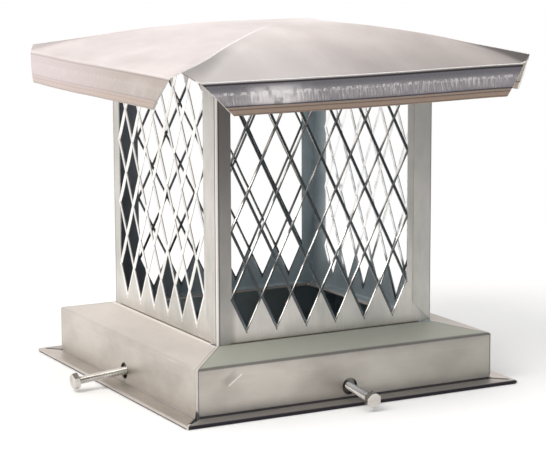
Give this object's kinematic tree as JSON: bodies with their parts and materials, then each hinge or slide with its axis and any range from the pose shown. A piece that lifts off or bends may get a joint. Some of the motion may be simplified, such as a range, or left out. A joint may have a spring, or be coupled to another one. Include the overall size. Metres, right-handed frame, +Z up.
{
  "type": "mesh chimney cap",
  "caption": "Square chimney cap: crowned sheet hood over a diamond mesh cage on a flanged skirt, with clamp bolts that grip the flue tile.",
  "frame": {"origin": "middle of the underside, level with the folded flange edges that the cap rests on", "axes": "+Z up; -Y is the front, which is the wider face in the picture; -X is its left side"},
  "size_m": [0.3424, 0.3274, 0.2782],
  "materials": {
    "hood_sheet": "mill finish stainless sheet",
    "mesh_sheet": "mill finish stainless sheet, expanded",
    "skirt_sheet": "mill finish stainless sheet",
    "bolt": "plain stainless hex bolt",
    "nut": "plain stainless flange nut"
  },
  "bodies": {
    "cap": {"lid": "hood_sheet", "mesh_front": "mesh_sheet", "mesh_right": "mesh_sheet", "mesh_back": "mesh_sheet", "mesh_left": "mesh_sheet", "skirt_front": "skirt_sheet", "skirt_right": "skirt_sheet", "skirt_back": "skirt_sheet", "skirt_left": "skirt_sheet", "nut_front": "nut", "nut_right": "nut", "nut_back": "nut", "nut_left": "nut"},
    "clamp_bolt_front": {"bolt_front": "bolt"},
    "clamp_bolt_right": {"bolt_right": "bolt"},
    "clamp_bolt_back": {"bolt_back": "bolt"},
    "clamp_bolt_left": {"bolt_left": "bolt"}
  },
  "joints": [
    {"name": "bolt_front_travel", "type": "slide", "parent": "cap", "child": "clamp_bolt_front", "axis": [0, 0.9962, 0.0872], "range_m": [-0.0135, 0.0305]},
    {"name": "bolt_right_travel", "type": "slide", "parent": "cap", "child": "clamp_bolt_right", "axis": [-0.9962, 0, 0.0872], "range_m": [-0.006, 0.038]},
    {"name": "bolt_back_travel", "type": "slide", "parent": "cap", "child": "clamp_bolt_back", "axis": [0, -0.9962, 0.0872], "range_m": [-0.0135, 0.0305]},
    {"name": "bolt_left_travel", "type": "slide", "parent": "cap", "child": "clamp_bolt_left", "axis": [0.9962, 0, 0.0872], "range_m": [-0.006, 0.038]}
  ]
}
